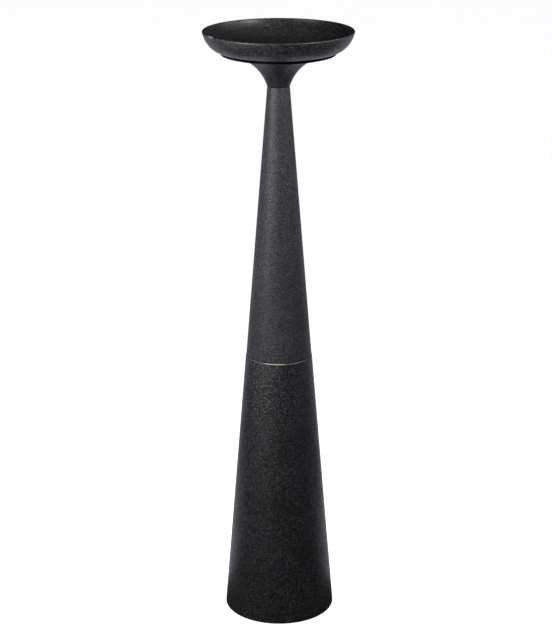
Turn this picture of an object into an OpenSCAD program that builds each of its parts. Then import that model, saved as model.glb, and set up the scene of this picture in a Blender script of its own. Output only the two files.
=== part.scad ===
// Pillar candle holder: a shallow dish on a flared neck, above a tall column made of two cones.
// The cones and the neck screw together on short studs, so the holder packs flat in a box.
// Millimetres, +Z up. The origin is the centre of the foot, on the surface that it stands on.

/* [Overall] */
// Height from the surface it stands on to the rim of the dish
total_h = 500; // [440:5:560]
// Diameter of the lower cone at its foot
base_d = 93; // [84:1:110]
// Height of the parting line between the two cones
seam_h = 229; // [190:1:260]
// Diameter of the upper cone at the parting line
seam_d = 54.6; // [50:0.2:62]
// Diameter of the upper cone where the neck sits on it
throat_d = 18.2; // [17:0.2:22]

/* [Dish] */
// Outer diameter of the dish at its rim
dish_d = 121.4; // [112:0.2:140]
// Height of the dish, from its underside to its rim
dish_h = 17.1; // [14:0.1:24]
// Diameter of the flat underside of the dish
dish_flat_d = 86; // [80:1:96]
// Height at which the curve of the dish's side would stand upright
dish_curve_h = 22; // [22:0.5:36]
// Thickness of the dish's rim
rim_t = 1.8; // [1.4:0.1:3]
// Thickness of the dish's floor
dish_floor_t = 2.8; // [2.6:0.1:4]

/* [Neck] */
// Height of the neck, from its foot to its flange
neck_h = 26; // [22:0.2:34]
// Diameter of the neck's flange
flange_d = 82.8; // [70:0.2:88]
// Thickness of the flange at its edge
flange_t = 1.2; // [1:0.1:3]
// Height of the whole quarter curve of which the flare is the upper part
flare_h = 36.3; // [35:0.1:60]
// Wall under the hollow of the neck
neck_wall = 3; // [2.4:0.1:4]
// Diameter of the boss in the neck that takes the dish screw
boss_d = 14; // [12:0.5:18]
// Diameter of the rubber pad between the neck and the dish
pad_d = 92; // [86:0.5:96]
// Thickness of the rubber pad
pad_t = 1.6; // [1:0.1:2]

/* [Cones] */
// Wall of the lower cone
lower_wall = 3; // [2.5:0.1:4]
// Wall of the upper cone
upper_wall = 2.6; // [2.2:0.1:3.4]
// How far the lower cone stands out past the upper one at the parting line
seam_ledge = 0.3; // [0:0.05:0.8]
// Chamfer on the lower cone's top edge
seam_chamfer = 0.6; // [0.2:0.1:1]
// Chamfer on the upper cone's bottom edge
upper_chamfer = 0.4; // [0.2:0.1:1]
// Rounding chamfer on the lower cone's bottom edge
foot_chamfer = 0.6; // [0.2:0.1:1.5]

/* [Column joint] */
// Diameter of the column's stud
column_stud_d = 8; // [6:1:10]
// Rise of the column for each turn on its stud
column_pitch = 1.25; // [1:0.25:1.5]
// Width across the flats of the nuts on the column's stud
column_nut_w = 13; // [13:0.5:17]
// Height of the nuts on the column's stud
column_nut_h = 6.5; // [5:0.5:8]
// Outer diameter of the washer in the column's joint
column_washer_d = 16; // [15:1:22]
// Thickness of the washer in the column's joint
column_washer_t = 1.6; // [1:0.1:2]
// Thickness of the plug in the foot of the upper cone
column_plug_t = 6; // [5:0.5:10]
// Thickness of the plug in the top of the lower cone
base_plug_t = 8; // [6:0.5:12]
// Diameter of the spigot that centres the upper cone
spigot_d = 42; // [36:0.5:44]
// Length of the spigot
spigot_l = 4; // [3:0.5:8]

/* [Neck joint] */
// Diameter of the neck's stud
neck_stud_d = 6; // [5:0.5:6]
// Rise of the neck for each turn on its stud
neck_pitch = 1; // [0.75:0.25:1.25]
// Length of the neck's stud that goes into the column
neck_stud_l = 10; // [8:0.5:12]
// Outer diameter of the threaded bush in the top of the column
bush_d = 11.2; // [10:0.2:12]
// Length of the threaded bush
bush_l = 16; // [14:0.5:20]
// Outer diameter of the washer in the neck's joint
neck_washer_d = 12; // [11:0.5:13]
// Thickness of the washer in the neck's joint
neck_washer_t = 1.2; // [0.8:0.1:1.6]

/* [Dish screw] */
// Diameter of the countersunk screw that holds the dish
dish_screw_d = 5; // [4:0.5:6]
// Length of the countersunk screw
dish_screw_l = 16; // [14:1:18]
// Diameter of the screw's head
dish_head_d = 9.4; // [8.4:0.1:10]
// Height of the screw's head
dish_head_h = 2.4; // [2:0.1:2.5]
// Width across the flats of the screw's hexagon socket
dish_key_w = 3; // [2.5:0.5:3.5]

/* [Foot] */
// Thickness of the felt under the foot
felt_t = 2; // [1.5:0.1:3]
// How far the felt stands below the lower cone's edge
felt_stand = 0.6; // [0.3:0.1:1.2]
// Thickness of the steel plate in the foot
plate_t = 2.6; // [2.4:0.1:4]
// Height of the iron weight in the foot
weight_h = 16; // [10:1:30]
// Number of lugs in the foot, each with its screw
lug_count = 3; // [3:1:6]
// Diameter of a lug
lug_d = 10; // [9:0.5:12]
// Height of a lug
lug_h = 12; // [10:1:16]
// Diameter of the foot screws
foot_screw_d = 4; // [3:0.5:4]
// Length of the foot screws
foot_screw_l = 26; // [24:1:26]

/* [Hidden] */

$fn = 96;
curve_steps = 28;      // straight steps in a quarter of a turned curve
thread_gap = 0.05;     // gap round a thread, which is drawn as a plain cylinder
seat_gap = 0.1;        // gap round a piece that is pressed, glued or laid in
slide_gap = 0.3;       // gap round a piece that slides out by hand
screw_gap = 0.08;      // gap between the dish and the screw that it turns on
foot_screw_gap = 0.25; // gap round a foot screw in the plate and the weight
weld_depth = 1.5;      // how far a lug runs into the wall that it grows from
cut = 1;               // how far a cutting shape runs past a face

black_coat = [0.09, 0.09, 0.1];
bare_alloy = [0.72, 0.71, 0.69];
zinc = [0.66, 0.68, 0.7];
brass = [0.75, 0.6, 0.3];
rubber = [0.03, 0.03, 0.03];
grey_iron = [0.3, 0.3, 0.31];
fibre = [0.45, 0.16, 0.1];
felt_grey = [0.12, 0.12, 0.13];

// Levels, from the top down
dish_z = total_h - dish_h;                                   // underside of the dish
pad_z = dish_z - pad_t;                                      // top of the neck
throat_z = pad_z - neck_h;                                   // top of the column
spigot_z = seam_h - spigot_l;                                // underside of the spigot
base_plug_z = spigot_z - column_washer_t;                    // floor of the lower cone's plug
base_nut_z = base_plug_z - base_plug_t - column_nut_h;       // underside of the nut in the lower cone
column_nut_z = seam_h + column_plug_t;                       // underside of the nut in the upper cone
weight_z = felt_t + plate_t;                                 // underside of the weight
lug_z = weight_z + weight_h;                                 // underside of the lugs
foot_z = felt_stand;                                         // bottom edge of the lower cone

// The stud stands this far past each nut, and leaves the lower one after column_lift
stud_stand = 2;
column_lift = stud_stand + column_nut_h;

// Radii of the two cones, outside and inside
function lower_r(z) = base_d / 2 + (seam_d / 2 + seam_ledge - base_d / 2) * (z - foot_z) / (seam_h - foot_z);
function upper_r(z) = seam_d / 2 + (throat_d / 2 - seam_d / 2) * (z - seam_h) / (throat_z - seam_h);
function lower_in(z) = lower_r(z) - lower_wall;
function upper_in(z) = upper_r(z) - upper_wall;

lug_circle_r = lower_in(lug_z + lug_h) - lug_d / 2 + weld_depth;

// Points along part of an ellipse, from one angle to the other
function ellipse_points(centre, radii, from, to, steps) = [
    for (i = [0 : steps])
        let (a = from + (to - from) * i / steps)
            [centre[0] + radii[0] * cos(a), centre[1] + radii[1] * sin(a)]
];

module lathe(outline) {
    rotate_extrude() polygon(outline);
}

// A cylinder between two heights
module round_bar(d, from, to) {
    translate([0, 0, from]) cylinder(d = d, h = to - from);
}

// A hole between two heights, which runs a little past both
module round_hole(d, from, to) {
    round_bar(d, from - cut, to + cut);
}

module hex_nut(w, h, bore_d) {
    difference() {
        cylinder(d = w / cos(30), h = h, $fn = 6);
        round_hole(bore_d, 0, h);
    }
}

// A stud or screw shank with a small point at each end that is asked for
module shank(d, from, to, point = 0.6) {
    lathe([
        [0, from], [d / 2 - point, from], [d / 2, from + point],
        [d / 2, to - point], [d / 2 - point, to], [0, to]
    ]);
}

module flat_washer(d, t, bore_d) {
    difference() {
        cylinder(d = d, h = t);
        round_hole(bore_d, 0, t);
    }
}

// A countersunk screw with its head's top at height 0 and its shank below
module countersunk_screw(d, l, head_d, head_h, key_w) {
    difference() {
        union() {
            translate([0, 0, -head_h]) cylinder(d1 = d, d2 = head_d, h = head_h);
            shank(d, -l, -head_h + 0.6);
        }
        translate([0, 0, -head_h * 0.75]) cylinder(d = key_w / cos(30), h = head_h, $fn = 6);
    }
}

// The hole that a countersunk screw sits in, with its top at height 0
module countersunk_hole(d, l, head_d, head_h, gap) {
    translate([0, 0, -head_h]) cylinder(d1 = d + 2 * gap, d2 = head_d + 2 * gap, h = head_h);
    round_bar(head_d + 2 * gap, 0, cut);
    round_bar(d + 2 * gap, -l - cut, -head_h / 2);
}

// Dish ---------------------------------------------------------------------------------------

rim_r = rim_t / 2;
dish_side_h = dish_h - rim_r;    // where the side meets the rounded rim
dish_in_flat_r = dish_flat_d / 2 - 1;

// Angle on a side's ellipse at the height of the rim, and the ellipse's half width
function rim_angle(half_h) = asin((dish_side_h - dish_curve_h) / half_h);
function side_half_w(reach, half_h) = reach / cos(rim_angle(half_h));

module dish() {
    out_h = dish_curve_h;
    in_h = dish_curve_h - dish_floor_t;
    out_w = side_half_w(dish_d / 2 - dish_flat_d / 2, out_h);
    in_w = side_half_w(dish_d / 2 - rim_t - dish_in_flat_r, in_h);
    outline = concat(
        [[0, 0]],
        ellipse_points([dish_flat_d / 2, dish_curve_h], [out_w, out_h], -90, rim_angle(out_h), curve_steps),
        ellipse_points([dish_d / 2 - rim_r, dish_side_h], [rim_r, rim_r], 15, 165, 10),
        ellipse_points([dish_in_flat_r, dish_curve_h], [in_w, in_h], rim_angle(in_h), -90, curve_steps),
        [[0, dish_floor_t]]
    );
    color(black_coat) translate([0, 0, dish_z]) difference() {
        lathe(outline);
        translate([0, 0, dish_floor_t])
            countersunk_hole(dish_screw_d, dish_floor_t, dish_head_d, dish_head_h, screw_gap);
    }
}

module dish_screw() {
    color(zinc) translate([0, 0, dish_z + dish_floor_t])
        countersunk_screw(dish_screw_d, dish_screw_l, dish_head_d, dish_head_h, dish_key_w);
}

module dish_pad() {
    color(rubber) difference() {
        round_bar(pad_d, pad_z, dish_z);
        round_hole(boss_d + 2 * seat_gap, pad_z, dish_z);
    }
}

// Neck ---------------------------------------------------------------------------------------

flare_top = neck_h - flange_t;
flare_centre_h = flare_top - flare_h;
flare_foot_angle = 180 - asin(-flare_centre_h / flare_h);
flare_half_w = (flange_d - throat_d) / 2 / -cos(flare_foot_angle);
hollow_floor = 12;               // height of the hollow's floor above the neck's foot
boss_top = neck_h + pad_t - seat_gap;
boss_hole_l = dish_screw_l - dish_floor_t + 1;

// Radius of the flare at a height above the neck's foot
function flare_r(h) = flange_d / 2 - flare_half_w * sqrt(1 - pow((h - flare_centre_h) / flare_h, 2));

module neck_hollow() {
    top = neck_h - neck_wall;
    steps = curve_steps / 2;
    lathe(concat(
        [[0, hollow_floor]],
        [for (i = [0 : steps])
            let (h = hollow_floor - neck_wall + (top - hollow_floor + neck_wall) * i / steps)
                [flare_r(h), h + neck_wall]],
        [[flare_r(top), neck_h + cut], [0, neck_h + cut]]
    ));
}

module neck() {
    flare = ellipse_points([flange_d / 2, flare_centre_h], [flare_half_w, flare_h], flare_foot_angle, 90, curve_steps);
    color(black_coat) translate([0, 0, throat_z]) difference() {
        union() {
            difference() {
                lathe(concat([[0, 0]], flare, [[flange_d / 2, neck_h], [0, neck_h]]));
                neck_hollow();
            }
            round_bar(boss_d, hollow_floor - cut, boss_top);
        }
        round_hole(dish_screw_d + 2 * thread_gap, boss_top - boss_hole_l + cut, boss_top);
        round_hole(neck_stud_d + 2 * thread_gap, 0, neck_stud_l);
        round_hole(neck_washer_d + 2 * slide_gap, -cut, neck_washer_t - cut);
    }
}

module neck_stud() {
    color(zinc) shank(neck_stud_d, throat_z - neck_stud_l, throat_z + neck_stud_l);
}

module neck_washer() {
    color(fibre) translate([0, 0, throat_z])
        flat_washer(neck_washer_d, neck_washer_t, neck_stud_d + 2 * slide_gap);
}

module neck_bush() {
    color(brass) difference() {
        round_bar(bush_d, throat_z - bush_l, throat_z);
        round_hole(neck_stud_d + 2 * thread_gap, throat_z - bush_l, throat_z);
    }
}

// Upper cone ---------------------------------------------------------------------------------

module upper_cone() {
    bore_r = bush_d / 2 + seat_gap;
    bore_z = throat_z - bush_l - seat_gap;
    color(black_coat) lathe([
        [upper_in(seam_h), seam_h], [seam_d / 2 - upper_chamfer, seam_h],
        [upper_r(seam_h + upper_chamfer), seam_h + upper_chamfer],
        [throat_d / 2, throat_z], [bore_r, throat_z],
        [bore_r, bore_z], [upper_in(bore_z), bore_z]
    ]);
}

module column_plug() {
    color(bare_alloy) difference() {
        union() {
            lathe([
                [0, seam_h], [upper_in(seam_h) - seat_gap, seam_h],
                [upper_in(column_nut_z) - seat_gap, column_nut_z], [0, column_nut_z]
            ]);
            round_bar(spigot_d, spigot_z, seam_h);
        }
        round_hole(column_stud_d + 2 * thread_gap, spigot_z, column_nut_z);
    }
}

module column_stud() {
    color(zinc) shank(column_stud_d, base_nut_z - stud_stand, column_nut_z + column_nut_h + stud_stand);
}

module column_nut() {
    color(zinc) translate([0, 0, column_nut_z])
        hex_nut(column_nut_w, column_nut_h, column_stud_d + 2 * thread_gap);
}

module column_washer() {
    color(fibre) translate([0, 0, base_plug_z])
        flat_washer(column_washer_d, column_washer_t, column_stud_d + 2 * slide_gap);
}

// Lower cone ---------------------------------------------------------------------------------

// One copy for each lug, turned round the middle of the foot
module at_lugs() {
    for (i = [0 : lug_count - 1])
        rotate([0, 0, 90 + i * 360 / lug_count]) translate([lug_circle_r, 0, 0]) children();
}

module lower_cone() {
    color(black_coat) difference() {
        union() {
            lathe([
                [lower_in(foot_z), foot_z], [base_d / 2 - foot_chamfer, foot_z],
                [lower_r(foot_z + foot_chamfer), foot_z + foot_chamfer],
                [lower_r(seam_h - seam_chamfer), seam_h - seam_chamfer],
                [lower_r(seam_h) - seam_chamfer, seam_h], [lower_in(seam_h), seam_h]
            ]);
            at_lugs() round_bar(lug_d, lug_z, lug_z + lug_h);
        }
        at_lugs() round_hole(foot_screw_d + 2 * thread_gap, lug_z, lug_z + lug_h);
    }
}

module base_plug() {
    foot = base_plug_z - base_plug_t;
    collar_top = seam_h - 0.5;
    color(bare_alloy) difference() {
        lathe([
            [0, foot], [lower_in(foot) - seat_gap, foot],
            [lower_in(collar_top) - seat_gap, collar_top], [0, collar_top]
        ]);
        round_hole(spigot_d + 2 * slide_gap, base_plug_z + cut, collar_top);
        round_hole(column_stud_d + 2 * slide_gap, foot, base_plug_z);
    }
}

module base_nut() {
    color(zinc) translate([0, 0, base_nut_z])
        hex_nut(column_nut_w, column_nut_h, column_stud_d + 2 * thread_gap);
}

// Foot ---------------------------------------------------------------------------------------

module base_weight() {
    color(grey_iron) difference() {
        lathe([
            [0, weight_z], [lower_in(weight_z) - 3 * seat_gap, weight_z],
            [lower_in(lug_z) - 3 * seat_gap, lug_z], [0, lug_z]
        ]);
        at_lugs() round_hole(foot_screw_d + 2 * foot_screw_gap, weight_z, lug_z);
    }
}

foot_head_d = foot_screw_d * 1.85;
foot_head_h = foot_screw_d * 0.55;

module base_plate() {
    color(zinc) difference() {
        round_bar(2 * lower_in(weight_z) - 6 * seat_gap, felt_t, weight_z);
        at_lugs() translate([0, 0, felt_t]) mirror([0, 0, 1])
            countersunk_hole(foot_screw_d, plate_t, foot_head_d, foot_head_h, foot_screw_gap);
    }
}

module foot_screws() {
    color(zinc) at_lugs() translate([0, 0, felt_t]) mirror([0, 0, 1])
        countersunk_screw(foot_screw_d, foot_screw_l, foot_head_d, foot_head_h, foot_screw_d * 0.6);
}

module felt() {
    color(felt_grey) round_bar(2 * lower_in(foot_z) - 6 * seat_gap, 0, felt_t);
}

dish();
dish_screw();
dish_pad();
neck();
neck_stud();
neck_washer();
neck_bush();
upper_cone();
column_plug();
column_stud();
column_nut();
column_washer();
lower_cone();
base_plug();
base_nut();
base_weight();
base_plate();
foot_screws();
felt();
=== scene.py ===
# %% [markdown]
# # A tall holder for a pillar candle
#
# The holder is four castings: a shallow dish, a flared neck, and a column of two tapered
# tubes that screw together. All of them have a matt black coat with a sand texture. A rubber
# pad lies under the dish, the holder stands on felt, and studs, a screw, nuts, washers and a
# weight are hidden inside.
#
# The frame below is the engineer's model of the same holder, with every piece in its place.
# The castings, the pad, the felt, the studs and the dish screw are modelled again here in
# more detail. The rest of the hardware keeps the frame's own meshes and gets new finishes.

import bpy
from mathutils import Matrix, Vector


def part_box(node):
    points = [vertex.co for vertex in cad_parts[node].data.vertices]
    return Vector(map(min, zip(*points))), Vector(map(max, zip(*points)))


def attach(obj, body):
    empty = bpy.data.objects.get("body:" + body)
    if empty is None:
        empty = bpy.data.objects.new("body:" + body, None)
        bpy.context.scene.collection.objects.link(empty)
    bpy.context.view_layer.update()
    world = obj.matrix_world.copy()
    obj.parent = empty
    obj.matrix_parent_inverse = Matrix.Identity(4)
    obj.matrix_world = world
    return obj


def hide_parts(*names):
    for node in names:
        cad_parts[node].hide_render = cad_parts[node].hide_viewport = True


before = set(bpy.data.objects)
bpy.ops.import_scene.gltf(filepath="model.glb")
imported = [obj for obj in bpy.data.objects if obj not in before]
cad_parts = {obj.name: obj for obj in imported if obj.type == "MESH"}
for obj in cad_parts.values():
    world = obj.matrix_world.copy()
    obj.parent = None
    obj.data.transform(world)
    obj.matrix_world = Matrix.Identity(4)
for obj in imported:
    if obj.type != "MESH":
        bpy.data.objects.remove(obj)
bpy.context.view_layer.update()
print("nodes:", sorted(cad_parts))

# %% Bring in what the lesson needs
import math

import bmesh
import bpy
from mathutils import Matrix, Vector

MM = 0.001          # one millimetre in Blender's metres
PER_METRE = 1000.0  # millimetres in a metre, for patterns that count features per metre
scene = bpy.context.scene
print("Blender", bpy.app.version_string)

# %% [markdown]
# ## The camera
#
# A camera in a studio stands well back and has a long lens, so that upright sides stay
# almost parallel. Here it is a metre and a half away, a quarter of a metre above the dish,
# and looks down by about eighteen degrees. It goes in first, because the lights are judged
# through it.

# %% Place the camera
SENSOR_MM, LENS_MM = 36.0, 105.06
CAMERA_AT = (-0.0024, -1.4622, 0.7475)     # metres
LOOKS_DOWN_DEG, ROLL_DEG = 18.42, -0.12

camera_data = bpy.data.cameras.new("product_camera")
camera_data.sensor_width = SENSOR_MM
camera_data.lens = LENS_MM
camera = bpy.data.objects.new("product_camera", camera_data)
scene.collection.objects.link(camera)
camera.location = CAMERA_AT
camera_pitch = math.radians(90 - LOOKS_DOWN_DEG)
camera_roll = math.radians(ROLL_DEG)
turned = Matrix.Rotation(camera_pitch, 3, "X") @ Matrix.Rotation(camera_roll, 3, "Z")
camera.rotation_euler = turned.to_euler()
scene.camera = camera
print("camera at", [round(c, 3) for c in camera.location], "lens", camera_data.lens, "mm")

# %% [markdown]
# ## Turned shapes
#
# Every casting here is round, as if it came off a lathe. On a lathe the shape is decided by
# one outline, and in Blender the Spin operator does the same: it sweeps an outline once
# round an axis. An outline is drawn in millimetres with two helpers, one for straight
# stretches and one for curves. A curve is itself a small spin of one point round a circle,
# which is then stretched to the two radii of an ellipse.

# %% Helpers that draw an outline
def start_outline(radius, height):
    """A new outline, with its first point at a radius and a height in millimetres."""
    bm = bmesh.new()
    return bm, bm.verts.new((radius, 0, height))


def line_to(bm, last, radius, height):
    """A straight stretch from the last point to a new one."""
    point = bm.verts.new((radius, 0, height))
    bm.edges.new((last, point))
    return point


def curve_to(bm, last, centre, radii, start, end, steps):
    """Part of an ellipse between two angles in degrees, joined to the last point."""
    middle = Vector((centre[0], 0, centre[1]))
    from_angle = math.radians(start)
    first = bm.verts.new(middle + Vector((math.cos(from_angle), 0, math.sin(from_angle))))
    before = set(bm.verts) - {first}
    made = bmesh.ops.spin(bm, geom=[first], cent=middle, axis=(0, -1, 0),
                          angle=math.radians(end - start), steps=steps)
    curve = [v for v in bm.verts if v not in before]
    to_middle = Matrix.Translation(-middle)
    bmesh.ops.scale(bm, vec=(radii[0], 1, radii[1]), space=to_middle, verts=curve)
    bm.edges.new((last, first))
    return next(g for g in made["geom_last"] if isinstance(g, bmesh.types.BMVert))


def close_outline(bm, last, first):
    """Joins the last point of an outline to its first one."""
    bm.edges.new((last, first))


# %% Helpers that turn an outline into a mesh
ROUND_STEPS = 144    # sides of a full turn: no facet is wider than three millimetres
SAME_POINT = 0.001   # points closer than this, in millimetres, are made one
ON_PLANE = 0.0001    # points closer than this to a cutting plane count as on it
CORNER_DEG = 25      # faces that meet at more than this are a corner
CORNER_STEPS = 3     # strips that round a corner off


def spin_round(bm):
    """Sweeps the outline once round the upright axis and closes its seam and poles."""
    bmesh.ops.remove_doubles(bm, verts=bm.verts, dist=SAME_POINT)
    bmesh.ops.spin(bm, geom=bm.verts[:] + bm.edges[:], cent=(0, 0, 0), axis=(0, 0, 1),
                   angle=math.tau, steps=ROUND_STEPS, use_merge=True)
    bmesh.ops.remove_doubles(bm, verts=bm.verts, dist=SAME_POINT)
    bmesh.ops.recalc_face_normals(bm, faces=bm.faces)


def soften_corners(bm, width):
    """Bevels every corner by a width in millimetres."""
    limit = math.radians(CORNER_DEG)
    sharp = [e for e in bm.edges if len(e.link_faces) == 2 and e.calc_face_angle(0) > limit]
    bmesh.ops.bevel(bm, geom=sharp, offset=width, offset_type="OFFSET", affect="EDGES",
                    segments=CORNER_STEPS, profile=0.5, material=-1, clamp_overlap=True)


def add_rings(bm, heights):
    """Cuts extra rings at these heights, so that a long wall is shaded evenly."""
    for height in heights:
        everything = bm.verts[:] + bm.edges[:] + bm.faces[:]
        bmesh.ops.bisect_plane(bm, geom=everything, plane_co=(0, 0, height),
                               plane_no=(0, 0, 1), dist=ON_PLANE)


# %% [markdown]
# A finished mesh is made an object and put on the body that it moves with, and the frame's
# node that it stands in for is hidden. A second helper reads the sizes of a round node, so
# that the new pieces take their places from the frame.

# %% Helpers that tie a piece to the frame
SHADED_SHARP_DEG = 38


def make_piece(name, bm, body, node, material):
    """Scales the mesh from millimetres to metres and puts the piece on its body."""
    bmesh.ops.scale(bm, vec=(MM, MM, MM), verts=bm.verts)
    mesh = bpy.data.meshes.new(name)
    bm.to_mesh(mesh)
    bm.free()
    mesh.materials.append(material)
    mesh.shade_smooth()
    mesh.set_sharp_from_angle(angle=math.radians(SHADED_SHARP_DEG))
    piece = bpy.data.objects.new(name, mesh)
    scene.collection.objects.link(piece)
    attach(piece, body)
    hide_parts(node)
    print(f"{name}: {len(mesh.polygons)} faces, stands for {node}")


def span(node):
    """Lowest height, highest height and radius of a round node, in millimetres."""
    low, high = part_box(node)
    return low.z / MM, high.z / MM, max(high.x, high.y) / MM


# %% [markdown]
# ## Walls pulled from rings
#
# Some shapes are not turned: a hexagon socket, or a lug that stands away from the axis.
# They start as level rings of edges. Two rings are bridged to make a face between them, and
# a ring that is extruded up or down draws a wall behind it.

# %% Helpers that pull a ring into a wall
TUBE_SIDES = 32


def ring_of_edges(bm, sides, radius, centre, cuts=0):
    """A level ring of edges. Each side may be cut into shorter edges."""
    made = bmesh.ops.create_circle(bm, cap_ends=False, segments=sides, radius=radius)
    edges = list({e for v in made["verts"] for e in v.link_edges})
    bmesh.ops.translate(bm, vec=centre, verts=made["verts"])
    if cuts:
        split = bmesh.ops.subdivide_edges(bm, edges=edges, cuts=cuts)
        edges = list({e for e in split["geom_split"] if isinstance(e, bmesh.types.BMEdge)})
    return edges


def pull_ring(bm, edges, up, grow=1.0):
    """Extrudes a ring of edges up or down, and may make it larger or smaller."""
    made = bmesh.ops.extrude_edge_only(bm, edges=edges)["geom"]
    verts = [g for g in made if isinstance(g, bmesh.types.BMVert)]
    middle = sum((v.co for v in verts), Vector()) / len(verts)
    bmesh.ops.scale(bm, vec=(grow, grow, 1), space=Matrix.Translation(-middle), verts=verts)
    bmesh.ops.translate(bm, vec=(0, 0, up), verts=verts)
    return [g for g in made if isinstance(g, bmesh.types.BMEdge)
            and g.verts[0] in verts and g.verts[1] in verts]


def add_tube(bm, centre, height, radius, hole_radius):
    """A short upright tube that stands at a point."""
    outer = ring_of_edges(bm, TUBE_SIDES, radius, centre)
    inner = ring_of_edges(bm, TUBE_SIDES, hole_radius, centre)
    bmesh.ops.bridge_loops(bm, edges=outer + inner)
    tops = pull_ring(bm, outer, height) + pull_ring(bm, inner, height)
    bmesh.ops.bridge_loops(bm, edges=tops)


# %% [markdown]
# ## Small helpers for shader nodes
#
# A finish is a graph of nodes. A few short helpers keep the graphs readable: they link a
# socket, add a node, do a sum, make a smooth step, mix two colours and place a noise. Two
# more make a node group, for an effect that several finishes share, and place it.

# %% Helpers for shader nodes
def put(tree, socket, value):
    """Links an output to a socket, or sets the socket to a plain value."""
    if isinstance(value, bpy.types.NodeSocket):
        tree.links.new(value, socket)
    else:
        socket.default_value = value


def add_node(tree, kind, inputs=(), **settings):
    """Adds a node, sets its options and fills or links the named inputs."""
    node = tree.nodes.new(kind)
    for key, value in settings.items():
        setattr(node, key, value)
    for key, value in dict(inputs).items():
        put(tree, node.inputs[key], value)
    return node


def sums(tree, operation, *values, clamp=False):
    """One Math node. The values may be numbers or other nodes' outputs."""
    node = tree.nodes.new("ShaderNodeMath")
    node.operation = operation
    node.use_clamp = clamp
    for socket, value in zip(node.inputs, values):
        put(tree, socket, value)
    return node.outputs[0]


def ramp(tree, value, low, high, to_low=0.0, to_high=1.0):
    """A smooth step from one value to another as the input goes from low to high."""
    node = add_node(tree, "ShaderNodeMapRange", {
        "Value": value, "From Min": low, "From Max": high,
        "To Min": to_low, "To Max": to_high}, interpolation_type="SMOOTHSTEP")
    return node.outputs["Result"]


def mix_colours(tree, factor, first, second):
    """Goes from the first colour to the second as the factor goes from 0 to 1."""
    node = tree.nodes.new("ShaderNodeMix")
    node.data_type = "RGBA"
    put(tree, node.inputs[0], factor)
    put(tree, node.inputs[6], first)
    put(tree, node.inputs[7], second)
    return node.outputs[2]


def noise(tree, vector, scale, detail=2.0, roughness=0.5):
    """A Noise texture's value, with its scale in features per metre."""
    node = add_node(tree, "ShaderNodeTexNoise", {
        "Vector": vector, "Scale": scale, "Detail": detail, "Roughness": roughness})
    return node.outputs[0]


# %% Helpers for shader groups
FLOAT, VECTOR = "NodeSocketFloat", "NodeSocketVector"


def new_group(name, inputs, outputs):
    """An empty shader group with named sockets. Gives its tree, input node and output node."""
    tree = bpy.data.node_groups.new(name, "ShaderNodeTree")
    for label, kind, value in inputs:
        socket = tree.interface.new_socket(name=label, in_out="INPUT", socket_type=kind)
        if value is not None:
            socket.default_value = value
    for label, kind in outputs:
        tree.interface.new_socket(name=label, in_out="OUTPUT", socket_type=kind)
    return tree, tree.nodes.new("NodeGroupInput"), tree.nodes.new("NodeGroupOutput")


def use_group(tree, group, **values):
    """Places a group in a material. Underscores in the names stand for spaces."""
    node = tree.nodes.new("ShaderNodeGroup")
    node.node_tree = group
    for key, value in values.items():
        put(tree, node.inputs[key.replace("_", " ")], value)
    return node.outputs


# %% [markdown]
# ## The sand texture
#
# The coat is a powder that is sprayed on and baked. It dries into small lumps about a
# millimetre apart, with finer grit on top, and it is a little thicker in some places than
# in others. The group below makes the lumps from noise and from the round cells of a
# Voronoi texture, so that they stand apart like grains of sand. It gives out a height for
# the bumps, a mask for the tips of the lumps, which catch the light, and a slow cloudy
# tone. Each casting uses it with its own size of grain. A picture of sand could be wrapped
# round each casting instead, but it would stretch on the cones and show where it meets.

# %% Build the sand texture group
LUMPS_PER_GRAIN, GRIT_PER_GRAIN = 0.7, 2.6   # how closely each noise is set, against a grain
GRIT_HEIGHT, DOME_HEIGHT = 0.35, -0.45       # against the lumps: a cell is highest in its middle
TIP_TO = 0.62                                # the height at which a tip is at its palest

sand, sand_in, sand_out = new_group(
    "sand_texture",
    [("Vector", VECTOR, None), ("Grain mm", FLOAT, 1.2), ("Cloud mm", FLOAT, 45.0),
     ("Tip from", FLOAT, 0.34)],
    [("Height", FLOAT), ("Tips", FLOAT), ("Cloud", FLOAT)])

place = sand_in.outputs["Vector"]
grains_per_metre = sums(sand, "DIVIDE", PER_METRE, sand_in.outputs["Grain mm"])
lumps_per_metre = sums(sand, "MULTIPLY", grains_per_metre, LUMPS_PER_GRAIN)
grit_per_metre = sums(sand, "MULTIPLY", grains_per_metre, GRIT_PER_GRAIN)
clouds_per_metre = sums(sand, "DIVIDE", PER_METRE, sand_in.outputs["Cloud mm"])

lumps = noise(sand, place, lumps_per_metre, detail=2.0, roughness=0.6)
grit = noise(sand, place, grit_per_metre, detail=1.0)
domes = add_node(sand, "ShaderNodeTexVoronoi", {
    "Vector": place, "Scale": grains_per_metre}).outputs["Distance"]
rough_top = sums(sand, "MULTIPLY_ADD", grit, GRIT_HEIGHT, lumps)
grain_height = sums(sand, "MULTIPLY_ADD", domes, DOME_HEIGHT, rough_top)

put(sand, sand_out.inputs["Height"], grain_height)
put(sand, sand_out.inputs["Tips"],
    ramp(sand, grain_height, low=sand_in.outputs["Tip from"], high=TIP_TO))
put(sand, sand_out.inputs["Cloud"], noise(sand, place, clouds_per_metre, detail=3.0))
print("group", sand.name, "with", len(sand.nodes), "nodes")
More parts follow.
